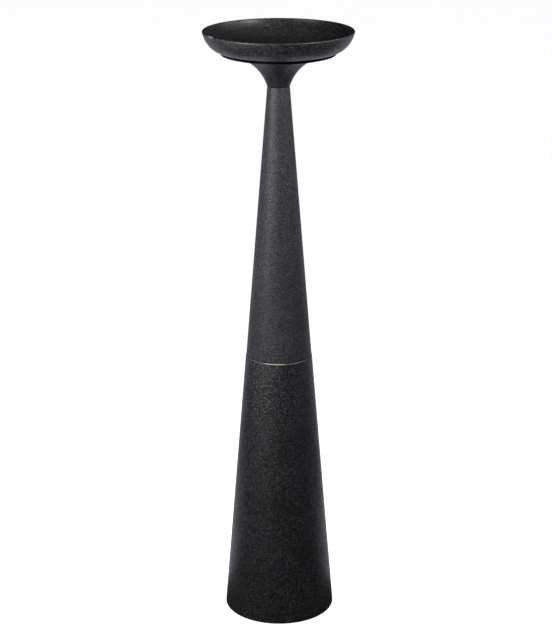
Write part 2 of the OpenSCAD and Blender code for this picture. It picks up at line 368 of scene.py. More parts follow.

# %% [markdown]
# ## Worn edges, painted highlights and painted shade
#
# Where two castings meet, the coat is rubbed thin along the edge, and where hands and
# boxes touch it most it is gone and bare metal shows as a bright line. These pale lines are
# also a painted highlight, where the edge catches the light. All such edges here are level
# rings, so the group measures how far a point is from a ring's height. It then measures how
# far round the ring the point is from the side that is worn and lit most. Noise breaks both
# lines up. The same band, alone, paints the shade in a crevice. Wear could be painted on by
# hand, but a mask that comes from the height follows when a casting gets another size.

# %% Build the ring group for wear, painted highlights and painted shade
ring_band, ring_band_in, ring_band_out = new_group(
    "ring_wear_highlight_shade",
    [("Vector", VECTOR, None), ("Ring height mm", FLOAT, 0.0), ("Half width mm", FLOAT, 0.5),
     ("Worn side deg", FLOAT, 0.0), ("Bare spread deg", FLOAT, 20.0)],
    [("Band", FLOAT), ("Rubbed and lit", FLOAT), ("Bare", FLOAT)])

place = ring_band_in.outputs["Vector"]
at = add_node(ring_band, "ShaderNodeSeparateXYZ", {"Vector": place})
height_mm = sums(ring_band, "MULTIPLY", at.outputs["Z"], PER_METRE)
above = sums(ring_band, "SUBTRACT", height_mm, ring_band_in.outputs["Ring height mm"])
widths_away = sums(ring_band, "DIVIDE", sums(ring_band, "ABSOLUTE", above), ring_band_in.outputs["Half width mm"])
band = ramp(ring_band, widths_away, low=0.6, high=1.0, to_low=1.0, to_high=0.0)

# %% Measure how far round the ring a point is
side = sums(ring_band, "RADIANS", ring_band_in.outputs["Worn side deg"])
level_place = add_node(ring_band, "ShaderNodeCombineXYZ", {"X": at.outputs["X"], "Y": at.outputs["Y"]})
outward = add_node(ring_band, "ShaderNodeVectorMath", {"Vector": level_place.outputs["Vector"]},
                   operation="NORMALIZE")
frontward = sums(ring_band, "MULTIPLY", sums(ring_band, "COSINE", side), -1.0)
worn_way = add_node(ring_band, "ShaderNodeCombineXYZ", {
    "X": sums(ring_band, "SINE", side), "Y": frontward})
facing = add_node(ring_band, "ShaderNodeVectorMath", operation="DOT_PRODUCT")
put(ring_band, facing.inputs[0], outward.outputs["Vector"])
put(ring_band, facing.inputs[1], worn_way.outputs["Vector"])
degrees_away = sums(ring_band, "DEGREES", sums(ring_band, "ARCCOSINE", facing.outputs["Value"]))

# %% Break the worn and painted lines up
CHIPS_PER_METRE, RUBS_PER_METRE = 210.0, 70.0

chips = noise(ring_band, place, CHIPS_PER_METRE, detail=3.0, roughness=0.6)
rubs = noise(ring_band, place, RUBS_PER_METRE, detail=4.0, roughness=0.7)
spreads_away = sums(ring_band, "DIVIDE", degrees_away, ring_band_in.outputs["Bare spread deg"])
ragged_away = sums(ring_band, "MULTIPLY_ADD", chips, 0.5, spreads_away)
near_side = ramp(ring_band, ragged_away, low=0.7, high=1.5, to_low=1.0, to_high=0.0)
# On the worn side the pale line is strongest, and there it is also a painted highlight.
wide_side = ramp(ring_band, degrees_away, low=70.0, high=110.0, to_low=1.0, to_high=0.5)
patchy = ramp(ring_band, rubs, low=0.36, high=0.6, to_low=0.35, to_high=1.0)
rubbed_and_lit_here = sums(ring_band, "MULTIPLY", wide_side, patchy)
# The band alone paints crevice shade; the rubbed and bare lines paint wear and a highlight.
put(ring_band, ring_band_out.inputs["Band"], band)
put(ring_band, ring_band_out.inputs["Rubbed and lit"], sums(ring_band, "MULTIPLY", band, rubbed_and_lit_here))
put(ring_band, ring_band_out.inputs["Bare"], sums(ring_band, "MULTIPLY", band, near_side))
print("group", ring_band.name, "with", len(ring_band.nodes), "nodes")

# %% [markdown]
# ## Specks
#
# A sprayed coat also has a few stray specks: dust that settled while it was wet, and tiny
# holes where gas came out of the casting. Modelling each one would cost far more than it
# shows. A Voronoi texture scatters one point in each cell, and only a few cells are let
# through.

# %% Build the speck group
specks, specks_in, specks_out = new_group(
    "stray_specks",
    [("Vector", VECTOR, None), ("Spacing mm", FLOAT, 6.0), ("Size", FLOAT, 0.12),
     ("Share", FLOAT, 0.2)],
    [("Mask", FLOAT)])

cells = add_node(specks, "ShaderNodeTexVoronoi", {
    "Vector": specks_in.outputs["Vector"],
    "Scale": sums(specks, "DIVIDE", PER_METRE, specks_in.outputs["Spacing mm"])})
lottery = add_node(specks, "ShaderNodeSeparateColor", {"Color": cells.outputs["Color"]})
chosen = sums(specks, "LESS_THAN", lottery.outputs[0], specks_in.outputs["Share"])
dots = sums(specks, "LESS_THAN", cells.outputs["Distance"], specks_in.outputs["Size"])
put(specks, specks_out.inputs["Mask"], sums(specks, "MULTIPLY", chosen, dots))
print("group", specks.name, "with", len(specks.nodes), "nodes")

# %% [markdown]
# ## The black coat
#
# One function makes the coat for each casting, because the real ones differ only in how
# coarse, how dark and how glossy they are. The colour goes from the hollows between the
# lumps to the paler tips, and the bump comes from the same lumps. The higher the tips
# start, the fewer of them are pale. Two rings can be added. One is a worn edge, where the
# coat is rubbed pale and then gone; these pale lines are also a painted highlight where the
# edge catches the light. The other is a crevice, painted near black as the shade in a joint
# where hardly any light gets in. The dish alone has a thin clear coat, which gives its wall
# a soft shine.

# %% Colours of the coat, and an empty material
# Wear and a painted highlight: the bare metal and rubbed coat colours pale a worn edge.
BARE_AND_LIT_METAL = (0.60, 0.52, 0.46, 1.0)
RUBBED_AND_LIT_COAT = (0.14, 0.132, 0.14, 1.0)
# Painted shade: over this half width, the crevice colour darkens a joint near black.
CREVICE_SHADE = (0.002, 0.002, 0.002, 1.0)
CREVICE_SHADE_HALF_MM = 0.95
CLOUDS_MM = 38.0
DUST = {"Spacing_mm": 7.0, "Size": 0.07, "Share": 0.10}
DUST_PALENESS = 3          # times as pale as the tips
BARE_METALLIC = 0.5        # half, because the metal is dulled and partly covered
BARE_SMOOTHER = 0.3        # how much less rough than the coat the bare metal is
COAT_ROUGHNESS = 0.35


def shade(value, tint):
    """A dark grey that leans towards violet as the tint goes from 0 to 1."""
    return (value, value * (1 - 0.09 * tint), value * (1 + 0.20 * tint), 1.0)


def new_material(name):
    """A material with nodes. Gives the material, its tree, its shader and the coordinates."""
    material = bpy.data.materials.new(name)
    material.use_nodes = True
    tree = material.node_tree
    shader = tree.nodes["Principled BSDF"]
    coordinates = tree.nodes.new("ShaderNodeTexCoord").outputs["Object"]
    return material, tree, shader, coordinates


def bump_surface(tree, shader, height, distance_mm, strength=1.0):
    """Roughens the surface by a height that is scaled to a distance in millimetres."""
    bump = add_node(tree, "ShaderNodeBump", {
        "Height": height, "Distance": distance_mm * MM, "Strength": strength})
    put(tree, shader.inputs["Normal"], bump.outputs["Normal"])


# %% A coat, from its values
def black_coat(name, hollow, tip, tint, grain_mm, bump_mm, roughness, gloss,
               worn_and_lit_edge=None, crevice_shade_mm=None, clear=0.0, tip_from=0.34):
    """Sand-textured powder coat. Hollow and tip are how pale each is, clear its clear coat."""
    material, tree, shader, place = new_material(name)
    shader.inputs["Specular IOR Level"].default_value = gloss
    shader.inputs["Coat Weight"].default_value = clear
    shader.inputs["Coat Roughness"].default_value = COAT_ROUGHNESS
    grains = use_group(tree, sand, Vector=place, Grain_mm=grain_mm, Cloud_mm=CLOUDS_MM,
                       Tip_from=tip_from)
    dust = use_group(tree, specks, Vector=place, **DUST)["Mask"]
    clouded = ramp(tree, grains["Cloud"], low=0.3, high=0.7, to_low=0.72, to_high=1.12)
    tips = sums(tree, "MULTIPLY", grains["Tips"], clouded, clamp=True)
    colour = mix_colours(tree, tips, shade(hollow, tint), shade(tip, tint))
    colour = mix_colours(tree, dust, colour, shade(tip * DUST_PALENESS, tint))
    rough = ramp(tree, grains["Tips"], low=0.0, high=1.0,
                 to_low=roughness + 0.10, to_high=roughness - 0.04)
    lumps = grains["Height"]
    # Painted shade: the band round a joint is darkened, where hardly any light gets in.
    if crevice_shade_mm is not None:
        crevice_shade = use_group(tree, ring_band, Vector=place, Ring_height_mm=crevice_shade_mm,
                        Half_width_mm=CREVICE_SHADE_HALF_MM)["Band"]
        colour = mix_colours(tree, crevice_shade, colour, CREVICE_SHADE)
    # A worn edge is wear plus a painted highlight: pale, then bare, where it catches the light.
    if worn_and_lit_edge is not None:
        edge = use_group(tree, ring_band, Vector=place, Ring_height_mm=worn_and_lit_edge["height_mm"],
                         Half_width_mm=worn_and_lit_edge["half_mm"], Worn_side_deg=worn_and_lit_edge["side"],
                         Bare_spread_deg=worn_and_lit_edge["spread"])
        rubbed_and_lit = sums(tree, "MULTIPLY", edge["Rubbed and lit"], worn_and_lit_edge["rub_and_highlight"])
        colour = mix_colours(tree, rubbed_and_lit, colour, RUBBED_AND_LIT_COAT)
        colour = mix_colours(tree, edge["Bare"], colour, BARE_AND_LIT_METAL)
        put(tree, shader.inputs["Metallic"], sums(tree, "MULTIPLY", edge["Bare"], BARE_METALLIC))
        smoother = sums(tree, "MULTIPLY", edge["Bare"], BARE_SMOOTHER)
        rough = sums(tree, "SUBTRACT", rough, smoother)
        lumps = sums(tree, "MULTIPLY", lumps, sums(tree, "SUBTRACT", 1.0, edge["Bare"]))
    put(tree, shader.inputs["Base Color"], colour)
    put(tree, shader.inputs["Roughness"], rough)
    bump_surface(tree, shader, lumps, bump_mm)
    return material


# %% [markdown]
# The coat is roughest below the seam and on the dish, and finer on the neck and above the
# seam. The worn edge at the seam faces the front: its pale line is partly wear and partly a
# painted highlight, where the chamfer catches the light. Painted shade darkens the groove
# at the seam and the joint at the foot of the neck. The dish rim has a faint pale line and
# one small bare nick on its left, both partly wear and partly a painted highlight.

# %% Make the four coats
seam_height = span("lower_cone")[1]
rim_height = span("dish")[1]
cone_foot, throat_height, _ = span("upper_cone")

# The upper and neck coats get painted shade at the joint at their foot.
fine_coat = black_coat(
    "upper_coat", hollow=0.013, tip=0.060, tint=0.5, grain_mm=0.8, bump_mm=0.24,
    roughness=0.42, gloss=0.26, crevice_shade_mm=cone_foot)
# The seam's worn edge is partly wear and partly a painted highlight.
coarse_coat = black_coat(
    "lower_coat", hollow=0.0005, tip=0.062, tint=0.6, grain_mm=0.95, bump_mm=0.46,
    roughness=0.33, gloss=0.52, tip_from=0.46,
    worn_and_lit_edge={"height_mm": seam_height - 0.2, "half_mm": 0.5, "side": -8.0, "spread": 18.0,
               "rub_and_highlight": 0.7})
neck_coat = black_coat(
    "neck_coat", hollow=0.005, tip=0.030, tint=0.8, grain_mm=0.85, bump_mm=0.26,
    roughness=0.40, gloss=0.36, crevice_shade_mm=throat_height)
# The rim's faint pale line and its nick are painted highlight as well as wear.
dish_coat = black_coat(
    "dish_coat", hollow=0.0005, tip=0.040, tint=0.7, grain_mm=1.2, bump_mm=0.55,
    roughness=0.42, gloss=0.32, tip_from=0.44, clear=0.5,
    worn_and_lit_edge={"height_mm": rim_height - 0.45, "half_mm": 0.4, "side": -61.0, "spread": 3.6,
               "rub_and_highlight": 0.06})
print("coats made:", fine_coat.name, coarse_coat.name, neck_coat.name, dish_coat.name)

# %% [markdown]
# ## Finishes for the hardware
#
# The hidden pieces are cut from bar or cast and left bare. A turned face carries fine rings
# from the tool, which are too fine to model. They are noise that is stretched round the
# axis: the radius and the height change it quickly, and the angle not at all. Steel, brass
# and aluminium share that group.

# %% Build the tool mark group
STAINS_PER_METRE = 160.0

marks, marks_in, marks_out = new_group(
    "tool_marks",
    [("Vector", VECTOR, None), ("Mark mm", FLOAT, 0.25)],
    [("Height", FLOAT), ("Streak", FLOAT)])

across = add_node(marks, "ShaderNodeSeparateXYZ", {"Vector": marks_in.outputs["Vector"]})
y_squared = sums(marks, "MULTIPLY", across.outputs["Y"], across.outputs["Y"])
squared = sums(marks, "MULTIPLY_ADD", across.outputs["X"], across.outputs["X"], y_squared)
ring_place = add_node(marks, "ShaderNodeCombineXYZ", {
    "X": sums(marks, "SQRT", squared), "Z": across.outputs["Z"]}).outputs["Vector"]
marks_per_metre = sums(marks, "DIVIDE", PER_METRE, marks_in.outputs["Mark mm"])
rings = noise(marks, ring_place, marks_per_metre, detail=2.0)
stains = noise(marks, marks_in.outputs["Vector"], STAINS_PER_METRE, detail=3.0)
half_stains = sums(marks, "MULTIPLY", stains, 0.5)
put(marks, marks_out.inputs["Height"], rings)
put(marks, marks_out.inputs["Streak"], sums(marks, "MULTIPLY_ADD", rings, 0.5, half_stains))
print("group", marks.name, "with", len(marks.nodes), "nodes")


# %% Make the metal finishes
def turned_metal(name, dark, bright, mark_mm, roughness):
    """Bare metal from a lathe or a press, with fine rings and a little staining."""
    material, tree, shader, place = new_material(name)
    shader.inputs["Metallic"].default_value = 1.0
    tool = use_group(tree, marks, Vector=place, Mark_mm=mark_mm)
    bright_share = ramp(tree, tool["Streak"], low=0.35, high=0.65)
    put(tree, shader.inputs["Base Color"], mix_colours(tree, bright_share, dark, bright))
    put(tree, shader.inputs["Roughness"], ramp(
        tree, tool["Streak"], low=0.3, high=0.7,
        to_low=roughness + 0.08, to_high=roughness - 0.06))
    bump_surface(tree, shader, tool["Height"], distance_mm=0.02, strength=0.6)
    return material


zinc_steel = turned_metal(
    "zinc_steel", dark=(0.42, 0.44, 0.47, 1), bright=(0.66, 0.68, 0.70, 1),
    mark_mm=0.3, roughness=0.32)
brass = turned_metal(
    "brass", dark=(0.55, 0.38, 0.14, 1), bright=(0.80, 0.62, 0.30, 1),
    mark_mm=0.25, roughness=0.28)
bare_casting = turned_metal(
    "bare_casting", dark=(0.48, 0.47, 0.45, 1), bright=(0.70, 0.69, 0.67, 1),
    mark_mm=0.5, roughness=0.45)
print("metals made:", zinc_steel.name, brass.name, bare_casting.name)

# %% [markdown]
# The weight is grey iron as it came from the mould, so it borrows the sand texture with a
# bigger grain. The pad is rubber, made darker and duller than rubber is, so that it also
# paints the shade under the dish. The washers are pressed red fibre, and the foot is felt,
# whose short hairs give it a soft sheen at its edge.

# %% Make the iron, rubber, fibre and felt
def rough_material(name, dark, pale, grain_mm, bump_mm, roughness,
                   metallic=0.0, sheen=0.0, gloss=0.3):
    """A dull material that is made of lumps or hairs of one size."""
    material, tree, shader, place = new_material(name)
    shader.inputs["Metallic"].default_value = metallic
    shader.inputs["Sheen Weight"].default_value = sheen
    shader.inputs["Specular IOR Level"].default_value = gloss
    grains = use_group(tree, sand, Vector=place, Grain_mm=grain_mm, Cloud_mm=20.0)
    half_tips = sums(tree, "MULTIPLY", grains["Tips"], 0.5)
    pale_share = sums(tree, "MULTIPLY_ADD", grains["Cloud"], 0.5, half_tips, clamp=True)
    put(tree, shader.inputs["Base Color"], mix_colours(tree, pale_share, dark, pale))
    put(tree, shader.inputs["Roughness"], ramp(
        tree, grains["Cloud"], low=0.3, high=0.7,
        to_low=roughness - 0.05, to_high=roughness + 0.05))
    bump_surface(tree, shader, grains["Height"], bump_mm)
    return material


grey_iron = rough_material(
    "grey_iron", dark=(0.05, 0.05, 0.052, 1), pale=(0.12, 0.118, 0.115, 1),
    grain_mm=2.0, bump_mm=0.3, roughness=0.6, metallic=0.8)
# The pad is near black and almost without shine, so that it paints the shade under the dish.
rubber_and_shade = rough_material(
    "pad_rubber_and_shade", dark=(0.0005, 0.0005, 0.0005, 1), pale=(0.002, 0.002, 0.002, 1),
    grain_mm=0.6, bump_mm=0.03, roughness=0.8, gloss=0.03)
red_fibre = rough_material(
    "red_fibre", dark=(0.22, 0.045, 0.025, 1), pale=(0.42, 0.12, 0.07, 1),
    grain_mm=0.5, bump_mm=0.05, roughness=0.7)
black_felt = rough_material(
    "black_felt", dark=(0.012, 0.012, 0.014, 1), pale=(0.05, 0.05, 0.054, 1),
    grain_mm=0.35, bump_mm=0.25, roughness=0.95, sheen=0.4)
print("dull ones made:", grey_iron.name, rubber_and_shade.name, red_fibre.name, black_felt.name)

# %% [markdown]
# ## Finishes on the hardware that stays
#
# The washers, bush, plugs, nuts, weight, plate and foot screws are right as they are in the
# frame. Only their material changes.

# %% Dress the hardware
HARDWARE = {
    "neck_washer": red_fibre, "neck_bush": brass, "column_plug": bare_casting,
    "column_nut": zinc_steel, "column_washer": red_fibre, "base_plug": bare_casting,
    "base_nut": zinc_steel, "base_weight": grey_iron, "base_plate": zinc_steel,
    "foot_screws": zinc_steel,
}
for node_name, finish in HARDWARE.items():
    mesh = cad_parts[node_name].data
    mesh.materials.clear()
    mesh.materials.append(finish)
print("dressed", len(HARDWARE), "hardware nodes")

# %% [markdown]
# ## The dish
#
# The dish is a flat floor with sides that curve up to a thin rounded rim. Its outline goes
# out under the floor, up the outside curve, over the rim, down the inside curve and back to
# the hole for the screw, which is wider at the top so that the screw's head sinks in. A
# flattened sphere would look much the same from the side, but its wall would have no
# thickness.

# %% Sizes of the dish, in millimetres
under, rim_top, rim_out = span("dish")
FLOOR_T, RIM_T = 2.8, 1.8                  # thickness of the floor and of the rim
FLAT_R, FLAT_IN_R = 43.0, 42.0             # radius of the flat, underneath and inside
CURVE_H = 22.0                             # height of the side's curve
HOLE_R, HEAD_R, HEAD_H = 2.58, 4.78, 2.4   # hole and countersink of the screw
SEAT_RING_R = HEAD_R + 6.0                 # a ring that keeps the floor's shading even
SIDE_STEPS, RIM_STEPS = 24, 8
RIM_FROM, RIM_TO = 12, 168                 # the rim's round top, in degrees

rim_r = RIM_T / 2
side_top = rim_top - rim_r
floor_top = under + FLOOR_T
curve_at = under + CURVE_H


def side_curve(inner_radius, outer_radius, half_height):
    """Angle and half width of the ellipse that a side follows up to the rim."""
    angle = math.asin((side_top - curve_at) / half_height)
    return math.degrees(angle), (outer_radius - inner_radius) / math.cos(angle)


out_angle, out_half = side_curve(FLAT_R, rim_out, CURVE_H)
in_angle, in_half = side_curve(FLAT_IN_R, rim_out - RIM_T, CURVE_H - FLOOR_T)
print("the dish is", round(rim_top - under, 1), "mm deep outside, to", round(rim_out, 1), "mm out")

# %% Model the dish
outline, first = start_outline(HOLE_R, under)
last = line_to(outline, first, FLAT_R / 2, under)
last = curve_to(outline, last, (FLAT_R, curve_at), (out_half, CURVE_H),
                -90, out_angle, SIDE_STEPS)
last = curve_to(outline, last, (rim_out - rim_r, side_top), (rim_r, rim_r),
                RIM_FROM, RIM_TO, RIM_STEPS)
last = curve_to(outline, last, (FLAT_IN_R, curve_at), (in_half, CURVE_H - FLOOR_T),
                in_angle, -90, SIDE_STEPS)
last = line_to(outline, last, SEAT_RING_R, floor_top)
last = line_to(outline, last, HEAD_R, floor_top)
last = line_to(outline, last, HOLE_R, floor_top - HEAD_H)
close_outline(outline, last, first)
spin_round(outline)
soften_corners(outline, width=0.15)
make_piece("dish_casting", outline, "dish", "dish", dish_coat)

# %% [markdown]
# ## The rubber pad
#
# A thin disc of black rubber lies between the dish and the neck. It is a little wider than
# the flat under the dish, so its dark edge shows. Its colour is darker and duller than
# rubber is, so that the edge also paints the shade under the dish. It is spun from a
# rectangle, because a plain cylinder would have no hole in it.

# %% Model the pad
pad_low, pad_high, pad_r = span("dish_pad")
PAD_HOLE_R = 7.1                   # clear of the boss that comes up through it
outline, first = start_outline(PAD_HOLE_R, pad_low)
last = line_to(outline, first, pad_r, pad_low)
last = line_to(outline, last, pad_r, pad_high)
last = line_to(outline, last, PAD_HOLE_R, pad_high)
close_outline(outline, last, first)
spin_round(outline)
soften_corners(outline, width=0.12)
make_piece("rubber_pad", outline, "neck", "dish_pad", rubber_and_shade)

# %% [markdown]
# ## The neck
#
# The neck flares like the bell of a trumpet: nearly upright where it leaves the column and
# level where it meets the pad. That curve is the upper part of a quarter ellipse, which
# needs only two radii and can't have a dent in it, as a curve drawn by eye can. Inside,
# under the pad, the casting is hollowed to an even wall round a boss for the dish screw.

# %% Sizes of the neck, in millimetres
foot, boss_top, flange_r = span("neck")
NECK_H = pad_low - foot                    # the pad lies on the neck
FLANGE_T, FLARE_H = 1.2, 36.3              # flange's edge, half height of the flare's ellipse
THROAT_R, BOSS_R = 9.1, 7.0
HOLLOW_H, WALL = 12.0, 3.0                 # floor of the hollow above the foot, and its wall
WASHER_SEAT_R, WASHER_SEAT_H = 6.3, 1.2
STUD_HOLE_R, STUD_HOLE_H = 3.05, 11.0
SCREW_HOLE_R, SCREW_HOLE_H = 2.55, 13.3    # the second is its floor above the foot
FLARE_STEPS, HOLLOW_STEPS = 28, 14

centre_h = NECK_H - FLANGE_T - FLARE_H


def flare_angle(height):
    """Angle on the flare's ellipse at a height above the foot, in degrees."""
    return 180 - math.degrees(math.asin((height - centre_h) / FLARE_H))


foot_angle = flare_angle(0)
flare_half = (flange_r - THROAT_R) / -math.cos(math.radians(foot_angle))
wall_low, wall_top = flare_angle(HOLLOW_H - WALL), flare_angle(NECK_H - WALL)
print("flare: half width", round(flare_half, 1), "mm, from", round(foot_angle, 1), "degrees")

# %% Model the neck
outline, first = start_outline(0, foot + STUD_HOLE_H)
last = line_to(outline, first, STUD_HOLE_R, foot + STUD_HOLE_H)
last = line_to(outline, last, STUD_HOLE_R, foot + WASHER_SEAT_H)
last = line_to(outline, last, WASHER_SEAT_R, foot + WASHER_SEAT_H)
last = line_to(outline, last, WASHER_SEAT_R, foot)
last = curve_to(outline, last, (flange_r, foot + centre_h), (flare_half, FLARE_H),
                foot_angle, 90, FLARE_STEPS)
last = line_to(outline, last, flange_r, foot + NECK_H)
last = curve_to(outline, last, (flange_r, foot + centre_h + WALL), (flare_half, FLARE_H),
                wall_top, wall_low, HOLLOW_STEPS)
last = line_to(outline, last, BOSS_R, foot + HOLLOW_H)
last = line_to(outline, last, BOSS_R, boss_top)
last = line_to(outline, last, SCREW_HOLE_R, boss_top)
last = line_to(outline, last, SCREW_HOLE_R, foot + SCREW_HOLE_H)
last = line_to(outline, last, 0, foot + SCREW_HOLE_H)
spin_round(outline)
soften_corners(outline, width=0.12)
make_piece("neck_casting", outline, "neck", "neck", neck_coat)

# %% [markdown]
# ## The two cones
#
# Each half of the column is a tapered tube, and Blender's own cone has no inside, so its
# outline is drawn as well. The lower tube is a hair wider than the upper one where they
# meet, and both have a small chamfer there, so the joint reads as a dark groove above a
# bright worn edge. The coats also paint shade into the groove and a highlight along the
# edge. Extra rings keep the shading of the long walls even. Three lugs inside the foot run
# a little into the wall, as cast ones do, and take the screws of the plate.

# %% Helpers for a cone
LONG_WALL_PARTS = 12


def cone_radius(height, low, low_r, high, high_r):
    """Radius of a cone at a height, between two heights where it is known."""
    return low_r + (high_r - low_r) * (height - low) / (high - low)


def wall_heights(low, high, above_low, below_high):
    """Heights for the rings of a long wall: a few near its ends, the rest evenly between."""
    near_ends = [low + up for up in above_low] + [high - down for down in below_high]
    return near_ends + [low + (high - low) * i / LONG_WALL_PARTS
                        for i in range(1, LONG_WALL_PARTS)]


# %% Model the upper cone
seam, throat, _ = span("upper_cone")
UPPER_R, UPPER_WALL, UPPER_CHAMFER = 27.3, 2.6, 0.4   # the radius is at the seam
BORE_R, BORE_L = 5.7, 16.1                            # for the brass bush
upper = (seam, UPPER_R, throat, THROAT_R)

outline, first = start_outline(UPPER_R - UPPER_WALL, seam)
last = line_to(outline, first, UPPER_R - UPPER_CHAMFER, seam)
last = line_to(outline, last, cone_radius(seam + UPPER_CHAMFER, *upper), seam + UPPER_CHAMFER)
last = line_to(outline, last, THROAT_R, throat)
last = line_to(outline, last, BORE_R, throat)
last = line_to(outline, last, BORE_R, throat - BORE_L)
last = line_to(outline, last, cone_radius(throat - BORE_L, *upper) - UPPER_WALL, throat - BORE_L)
close_outline(outline, last, first)
spin_round(outline)
soften_corners(outline, width=0.15)
add_rings(outline, wall_heights(seam, throat, above_low=(1.2, 3), below_high=(3, 1)))
make_piece("upper_casting", outline, "column", "upper_cone", fine_coat)

# %% Model the wall of the lower cone
edge, seam, _ = span("lower_cone")
FOOT_R, LEDGE_R, LOWER_WALL = 46.5, 27.6, 3.0   # radii of the foot and at the seam, and the wall
SEAM_CHAMFER, FOOT_CHAMFER = 0.6, 0.6
lower = (edge, FOOT_R, seam, LEDGE_R)

outline, first = start_outline(FOOT_R - LOWER_WALL, edge)
last = line_to(outline, first, FOOT_R - FOOT_CHAMFER, edge)
last = line_to(outline, last, cone_radius(edge + FOOT_CHAMFER, *lower), edge + FOOT_CHAMFER)
last = line_to(outline, last, cone_radius(seam - SEAM_CHAMFER, *lower), seam - SEAM_CHAMFER)
last = line_to(outline, last, LEDGE_R - SEAM_CHAMFER, seam)
last = line_to(outline, last, LEDGE_R - LOWER_WALL, seam)
close_outline(outline, last, first)
spin_round(outline)
soften_corners(outline, width=0.18)
add_rings(outline, wall_heights(edge, seam, above_low=(2, 5), below_high=(5, 2)))
print("wall of the lower cone:", len(outline.faces), "faces")

# %% Add its lugs
LUG_COUNT, FIRST_LUG_DEG = 3, 90
LUG_R, LUG_H, LUG_HOLE_R = 5.0, 12.0, 2.05
LUG_IN_WALL = 1.5                               # how far a lug runs into the wall
lug_low = span("base_weight")[1]
lug_circle = cone_radius(lug_low + LUG_H, *lower) - LOWER_WALL - LUG_R + LUG_IN_WALL
for number in range(LUG_COUNT):
    turn = math.radians(FIRST_LUG_DEG + number * 360 / LUG_COUNT)
    lug_at = (lug_circle * math.cos(turn), lug_circle * math.sin(turn), lug_low)
    add_tube(outline, lug_at, LUG_H, LUG_R, LUG_HOLE_R)
bmesh.ops.recalc_face_normals(outline, faces=outline.faces)
make_piece("lower_casting", outline, "base", "lower_cone", coarse_coat)

# %% [markdown]
# ## The felt foot
#
# The felt is a plain disc, but felt never has a hard edge. A cylinder would need the same
# bevel, so the felt is spun like the rest and its corners are rounded over.

# %% Model the felt
felt_low, felt_high, felt_r = span("felt")
outline, first = start_outline(0, felt_low)
last = line_to(outline, first, felt_r, felt_low)
last = line_to(outline, last, felt_r, felt_high)
last = line_to(outline, last, 0, felt_high)
spin_round(outline)
soften_corners(outline, width=0.6)
make_piece("felt_disc", outline, "base", "felt", black_felt)

# %% [markdown]
# ## Threads
#
# A screw thread is a spin that climbs. The outline is one tooth, exactly one pitch tall,
# and each step of the spin also lifts it a little, so after a whole turn the foot of a tooth
# meets the head of the one below. Both ends are then cut off square and closed. A stack of
# rings would be simpler, but rings don't climb.

# %% A helper for threads
THREAD_STEPS = 32    # sides of one turn of a thread
THREAD_DEPTH = 0.61  # against the pitch
TOOTH = (("root", 0.0), ("root", 0.1), ("crest", 0.44), ("crest", 0.56),
         ("root", 0.9), ("root", 1.0))   # up one pitch, from the foot of a tooth to its head


def threaded_bar(radius, pitch, low, high):
    """A closed bar with a thread round it, between two heights in millimetres."""
    radii = {"root": radius - THREAD_DEPTH * pitch, "crest": radius}
    turns = math.ceil((high - low) / pitch) + 2
    start = low - 1.5 * pitch
    bm = bmesh.new()
    corners = [bm.verts.new((radii[where], 0, start + up * pitch)) for where, up in TOOTH]
    for one, other in zip(corners, corners[1:]):
        bm.edges.new((one, other))
    bmesh.ops.spin(bm, geom=bm.verts[:] + bm.edges[:], cent=(0, 0, 0), axis=(0, 0, 1),
                   dvec=(0, 0, pitch / THREAD_STEPS), angle=math.tau * turns,
                   steps=THREAD_STEPS * turns)
    bmesh.ops.remove_doubles(bm, verts=bm.verts, dist=SAME_POINT / 2)
    for height, up in ((low, -1), (high, 1)):
        everything = bm.verts[:] + bm.edges[:] + bm.faces[:]
        cut = bmesh.ops.bisect_plane(bm, geom=everything, plane_co=(0, 0, height),
                                     plane_no=(0, 0, up), clear_outer=True, dist=ON_PLANE)
        rim = [e for e in cut["geom_cut"] if isinstance(e, bmesh.types.BMEdge)]
        bmesh.ops.holes_fill(bm, edges=rim, sides=0)
    bmesh.ops.recalc_face_normals(bm, faces=bm.faces)
    return bm


# %% Cut the two studs
STUDS = (("column_thread", "column", "column_stud", 1.25),  # the last value is the pitch
         ("neck_thread", "neck", "neck_stud", 1.0))
for name, body, node, pitch in STUDS:
    low, high, radius = span(node)
    make_piece(name, threaded_bar(radius, pitch, low, high), body, node, zinc_steel)

# %% [markdown]
# ## The dish screw
#
# One countersunk screw holds the dish, and the dish turns on it, so it rides with the neck.
# Its shank is the same threaded bar. The head starts as two rings, a circle for its edge and
# a hexagon for the key, which are bridged to make the top face. Pulling the circle down and
# in gives the countersunk side, and pulling the hexagon down gives the socket. The socket
# could be cut with a Boolean, but that leaves long thin faces round it.

# %% Model the dish screw
SCREW_R, SCREW_PITCH = 2.5, 0.8
KEY_W, KEY_DEPTH = 3.0, 1.6                # across the flats of the socket, and its depth
HEAD_EDGE = 0.25                           # the upright edge of the head
HEAD_SIDES, KEY_SIDES = 48, 6
KEY_CUTS = HEAD_SIDES // KEY_SIDES - 1     # gives both rings as many points

low, high, head_r = span("dish_screw")
screw = threaded_bar(SCREW_R, SCREW_PITCH, low, high - HEAD_H)
edge_ring = ring_of_edges(screw, HEAD_SIDES, head_r, (0, 0, high))
key_ring = ring_of_edges(screw, KEY_SIDES, KEY_W / math.sqrt(3), (0, 0, high), cuts=KEY_CUTS)
bmesh.ops.bridge_loops(screw, edges=edge_ring + key_ring)
socket_floor = pull_ring(screw, key_ring, -KEY_DEPTH)
head_side = pull_ring(screw, edge_ring, -HEAD_EDGE)
head_foot = pull_ring(screw, head_side, HEAD_EDGE - HEAD_H, SCREW_R / head_r)
for opening in (socket_floor, head_foot):
    bmesh.ops.holes_fill(screw, edges=opening, sides=0)
bmesh.ops.recalc_face_normals(screw, faces=screw.faces)
make_piece("dish_screw_threaded", screw, "neck", "dish_screw", zinc_steel)

